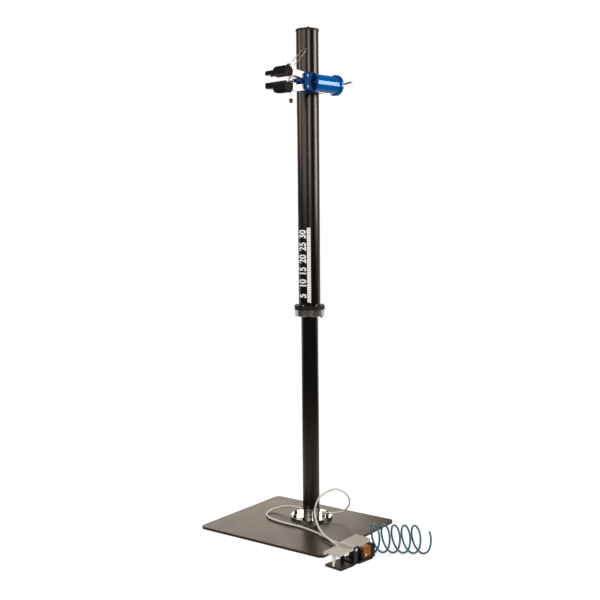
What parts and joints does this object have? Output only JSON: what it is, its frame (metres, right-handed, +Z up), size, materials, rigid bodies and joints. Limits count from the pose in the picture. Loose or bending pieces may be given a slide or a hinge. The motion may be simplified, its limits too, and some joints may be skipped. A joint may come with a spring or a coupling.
{
  "type": "bicycle repair stand",
  "caption": "Free-standing lifting repair stand with a floor plate, a telescopic column, a turning clamp head with padded jaws, and a foot valve on air lines.",
  "frame": {"origin": "where the column's axis meets the underside of the floor plate", "axes": "+Z up along the column, +X along the wide side of the floor plate towards the foot valve, +Y to the plate's rear edge; the jaws reach out to -Y"},
  "size_m": [0.9405, 0.5945, 2.035],
  "materials": {
    "black_steel": "satin black paint",
    "black_tube": "black anodised, satin gloss",
    "polished": "turned and polished",
    "black_screw": "blackened steel",
    "bright_screw": "zinc plated",
    "alloy": "machined",
    "treadle_alloy": "sand blasted",
    "bronze": "plain",
    "slide_plastic": "plain",
    "seal": "plain",
    "rod_steel": "hard chromed",
    "fitting_metal": "nickel plated",
    "blue_alloy": "blue anodised",
    "pale_plastic": "plain",
    "jaw_plastic": "semi gloss",
    "pad_rubber": "plain",
    "knob_plastic": "plain",
    "brass_body": "machined",
    "clear_tube": "milky",
    "blue_hose": "glossy"
  },
  "bodies": {
    "base": {"base_plate": "black_steel", "base_flange": "polished", "flange_screws": "black_screw", "lower_tube": "black_tube", "tube_set_screws": "bright_screw", "cylinder_barrel": "alloy", "cylinder_gland": "alloy", "rod_bush": "bronze", "upper_guide_bush": "slide_plastic", "left_air_fitting": "fitting_metal", "right_air_fitting": "fitting_metal", "pedal_base": "black_steel", "pedal_bracket": "black_steel", "pedal_pin": "bright_screw", "valve_body": "brass_body", "valve_end_caps": "knob_plastic", "valve_cap_bolts": "bright_screw", "valve_outlet_fittings": "knob_plastic", "exhaust_silencers": "fitting_metal", "hose_elbow": "fitting_metal", "post_sleeve": "rod_steel", "air_tube_left": "clear_tube", "air_tube_right": "clear_tube", "supply_hose": "blue_hose"},
    "lift_rod": {"piston": "alloy", "piston_seals": "seal", "piston_rod": "rod_steel", "thrust_washer": "bronze", "rod_nut": "bright_screw"},
    "column": {"upper_tube": "black_tube", "top_cap": "black_tube", "cap_screws": "black_screw", "collar": "black_tube", "collar_screws": "bright_screw", "bearing_ring": "polished", "guide_bush": "slide_plastic", "lock_screw": "black_screw", "head_saddle": "black_steel", "saddle_bolts": "bright_screw", "head_body": "blue_alloy", "head_bushes": "bronze"},
    "clamp_head": {"head_shaft": "rod_steel", "head_hub": "blue_alloy", "hub_screws": "bright_screw", "pivot_pins": "bright_screw", "jaw_spring": "rod_steel"},
    "rear_lever": {"lock_lever": "rod_steel", "lever_ball": "pale_plastic"},
    "upper_grip": {"upper_arm": "alloy", "upper_jaw": "jaw_plastic", "upper_pad": "pad_rubber"},
    "lower_grip": {"lower_arm": "alloy", "lower_jaw": "jaw_plastic", "lower_pad": "pad_rubber"},
    "clamp_screw": {"spindle": "rod_steel"},
    "wire_lever": {"cam_lever": "rod_steel"},
    "knob": {"adjusting_knob": "knob_plastic"},
    "foot_treadle": {"treadle": "treadle_alloy"},
    "spool": {"valve_spool": "rod_steel"},
    "plunger": {"return_plunger": "rod_steel"}
  },
  "joints": [
    {"name": "lift", "type": "slide", "parent": "base", "child": "lift_rod", "axis": [0, 0, 1], "range_m": [-0.78, 0]},
    {"name": "column_turn", "type": "hinge", "parent": "lift_rod", "child": "column", "pos_m": [0, 0, 1], "axis": [0, 0, 1], "continuous": true},
    {"name": "head_turn", "type": "hinge", "parent": "column", "child": "clamp_head", "pos_m": [0.08308, -0.01242, 1.788], "axis": [0.1478, 0.989, 0], "continuous": true},
    {"name": "lock_lever_turn", "type": "hinge", "parent": "clamp_head", "child": "rear_lever", "pos_m": [0.09608, 0.07462, 1.788], "axis": [0.1478, 0.989, 0], "range_deg": [-60, 30]},
    {"name": "cam_lever_swing", "type": "hinge", "parent": "clamp_screw", "child": "wire_lever", "pos_m": [0.05677, -0.18846, 1.8377], "axis": [0.989, -0.1478, 0], "range_deg": [0, 120]},
    {"name": "upper_jaw_close", "type": "hinge", "parent": "clamp_head", "child": "upper_grip", "pos_m": [0.06652, -0.12319, 1.809], "axis": [0.989, -0.1478, 0], "range_deg": [0, 2.6], "deforming": ["jaw_spring"]},
    {"name": "lower_jaw_close", "type": "hinge", "parent": "clamp_head", "child": "lower_grip", "pos_m": [0.06652, -0.12319, 1.767], "axis": [0.989, -0.1478, 0], "range_deg": [-2.6, 0], "deforming": ["jaw_spring"]},
    {"name": "spindle_rise", "type": "slide", "parent": "clamp_head", "child": "clamp_screw", "axis": [0, 0, 1], "range_m": [0, 0.003]},
    {"name": "knob_turn", "type": "hinge", "parent": "clamp_screw", "child": "knob", "pos_m": [0.05677, -0.18846, 1.716], "axis": [0, 0, 1], "continuous": true},
    {"name": "treadle_rock", "type": "hinge", "parent": "base", "child": "foot_treadle", "pos_m": [0.40689, -0.32992, 0.057], "axis": [0.9903, -0.1392, 0], "range_deg": [-4, 4], "stiffness_Nm_per_rad": 30},
    {"name": "spool_slide", "type": "slide", "parent": "base", "child": "spool", "axis": [0, 0, 1], "range_m": [-0.004, 0.004]},
    {"name": "plunger_slide", "type": "slide", "parent": "base", "child": "plunger", "axis": [0, 0, 1], "range_m": [-0.006, 0.006]}
  ],
  "couplings": [
    {"joint": "upper_jaw_close", "follows": "cam_lever_swing", "ratio": 0.021},
    {"joint": "lower_jaw_close", "follows": "cam_lever_swing", "ratio": -0.021},
    {"joint": "spindle_rise", "follows": "cam_lever_swing", "m_per_rad": 0.00139},
    {"joint": "spool_slide", "follows": "treadle_rock", "m_per_rad": 0.055},
    {"joint": "plunger_slide", "follows": "treadle_rock", "m_per_rad": -0.08}
  ]
}
